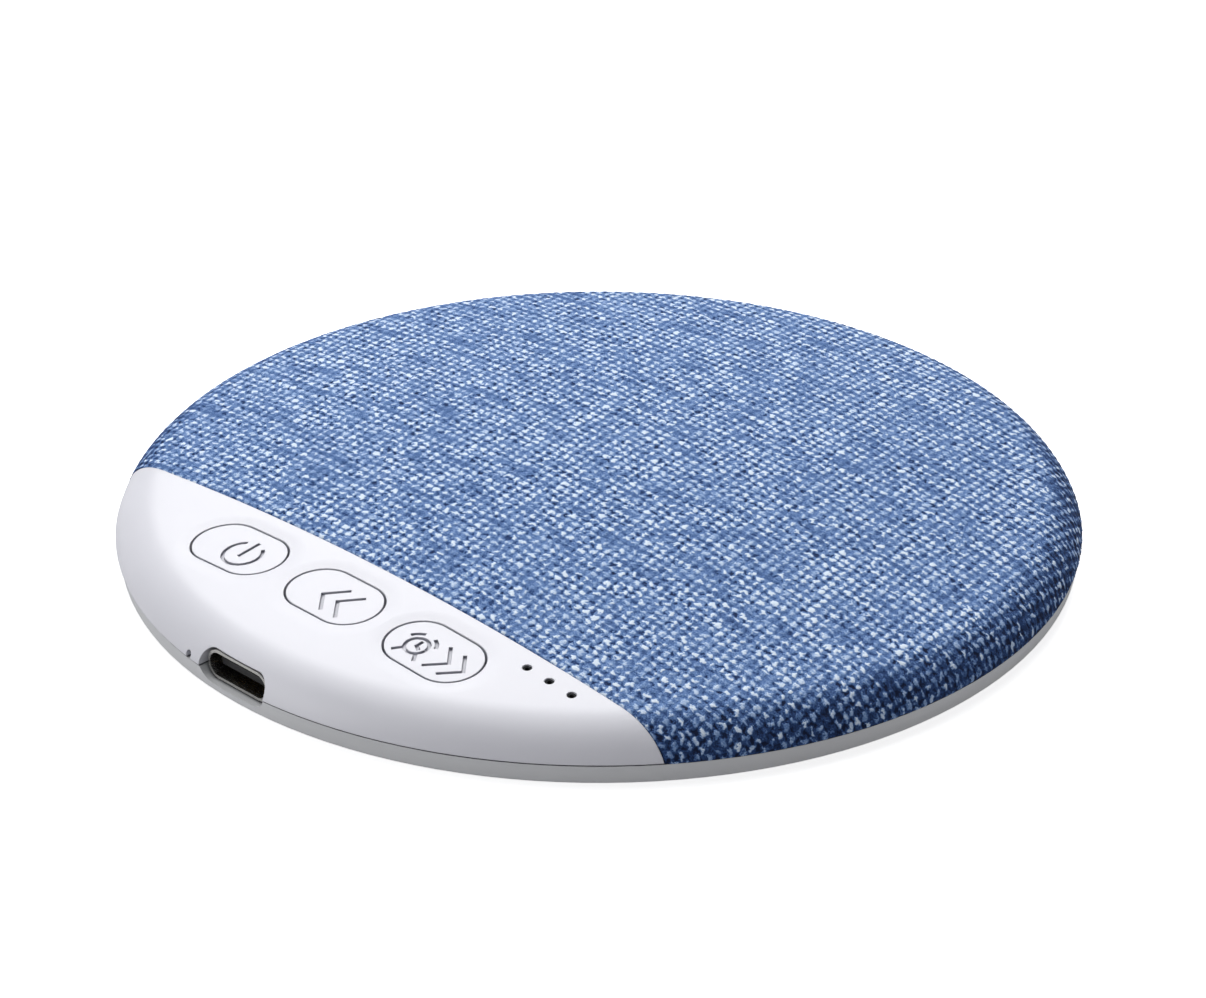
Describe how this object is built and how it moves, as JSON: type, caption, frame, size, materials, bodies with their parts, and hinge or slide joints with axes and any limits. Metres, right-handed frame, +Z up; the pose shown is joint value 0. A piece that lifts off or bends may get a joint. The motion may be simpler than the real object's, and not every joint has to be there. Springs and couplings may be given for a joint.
{
  "type": "bluetooth audio receiver",
  "caption": "Flat round Bluetooth audio receiver with a woven cloth top over thin speakers, a strip of push buttons and a USB-C socket.",
  "frame": {"origin": "on the surface the feet stand on, under the centre of the round body", "axes": "+Z up, -Y out of the USB-C socket on the side of the push buttons, +X to the right seen from that side"},
  "size_m": [0.1, 0.0998, 0.0097],
  "materials": {
    "white_abs": "satin moulded ABS",
    "gray_abs": "fine moulded texture, matt",
    "woven_cloth": "plain weave of blue mixed yarns",
    "dark_abs": "moulded, matt",
    "stamped_steel": "stamped, satin",
    "solder": "bright tin alloy",
    "epoxy": "moulded epoxy, matt",
    "gold_plate": "plated, bright",
    "solder_mask": "cured mask on glass-fibre board",
    "ceramic": "fired ceramic",
    "clear_acrylic": "clear, polished",
    "soft_foam": "closed-cell foam",
    "silicone": "soft moulded, matt",
    "pouch_foil": "laminated foil, satin",
    "red_insulation": "extruded PVC",
    "black_insulation": "extruded PVC",
    "white_insulation": "extruded PVC",
    "magnet_plate": "nickel plated",
    "copper_wire": "enamelled winding",
    "cone_film": "formed polymer film"
  },
  "bodies": {
    "housing": {"base_shell": "gray_abs", "control_cover": "white_abs", "grille_plate": "dark_abs", "cloth_cover": "woven_cloth", "power_switch": "stamped_steel", "previous_switch": "stamped_steel", "next_switch": "stamped_steel", "snap_domes": "stamped_steel", "main_board": "solder_mask", "usb_shell": "stamped_steel", "usb_tongue": "epoxy", "usb_contacts": "gold_plate", "bluetooth_chip": "epoxy", "amplifier_chip": "epoxy", "charger_chip": "epoxy", "crystal": "stamped_steel", "antenna": "ceramic", "inductor": "epoxy", "small_parts": "ceramic", "charge_light": "clear_acrylic", "light_pipe": "clear_acrylic", "microphone": "stamped_steel", "microphone_boot": "silicone", "battery_cell": "pouch_foil", "battery_guard_board": "solder_mask", "battery_pad": "soft_foam", "battery_red_lead": "red_insulation", "battery_black_lead": "black_insulation", "left_speaker_wires": "white_insulation", "right_speaker_wires": "white_insulation", "solder_joints": "solder", "left_basket": "dark_abs", "left_yoke": "stamped_steel", "left_magnet": "magnet_plate", "left_pole_plate": "stamped_steel", "left_surround": "silicone", "left_gasket": "soft_foam", "right_basket": "dark_abs", "right_yoke": "stamped_steel", "right_magnet": "magnet_plate", "right_pole_plate": "stamped_steel", "right_surround": "silicone", "right_gasket": "soft_foam", "rubber_feet": "silicone", "case_screws": "stamped_steel", "board_screws": "stamped_steel"},
    "power_key": {"power_button": "white_abs", "power_plunger": "dark_abs"},
    "previous_key": {"previous_button": "white_abs", "previous_plunger": "dark_abs"},
    "next_key": {"next_button": "white_abs", "next_plunger": "dark_abs"},
    "left_diaphragm": {"left_cone": "cone_film", "left_voice_coil": "copper_wire"},
    "right_diaphragm": {"right_cone": "cone_film", "right_voice_coil": "copper_wire"}
  },
  "joints": [
    {"name": "power_press", "type": "slide", "parent": "housing", "child": "power_key", "axis": [0, 0, -1], "range_m": [0, 0.0003], "stiffness_N_per_m": 2500, "springref_m": -0.0003},
    {"name": "previous_press", "type": "slide", "parent": "housing", "child": "previous_key", "axis": [0, 0, -1], "range_m": [0, 0.0003], "stiffness_N_per_m": 2500, "springref_m": -0.0003},
    {"name": "next_press", "type": "slide", "parent": "housing", "child": "next_key", "axis": [0, 0, -1], "range_m": [0, 0.0003], "stiffness_N_per_m": 2500, "springref_m": -0.0003},
    {"name": "left_cone_stroke", "type": "slide", "parent": "housing", "child": "left_diaphragm", "axis": [0, 0, 1], "range_m": [-0.00035, 0.00035], "stiffness_N_per_m": 1000, "deforming": ["left_surround"]},
    {"name": "right_cone_stroke", "type": "slide", "parent": "housing", "child": "right_diaphragm", "axis": [0, 0, 1], "range_m": [-0.00035, 0.00035], "stiffness_N_per_m": 1000, "deforming": ["right_surround"]}
  ]
}
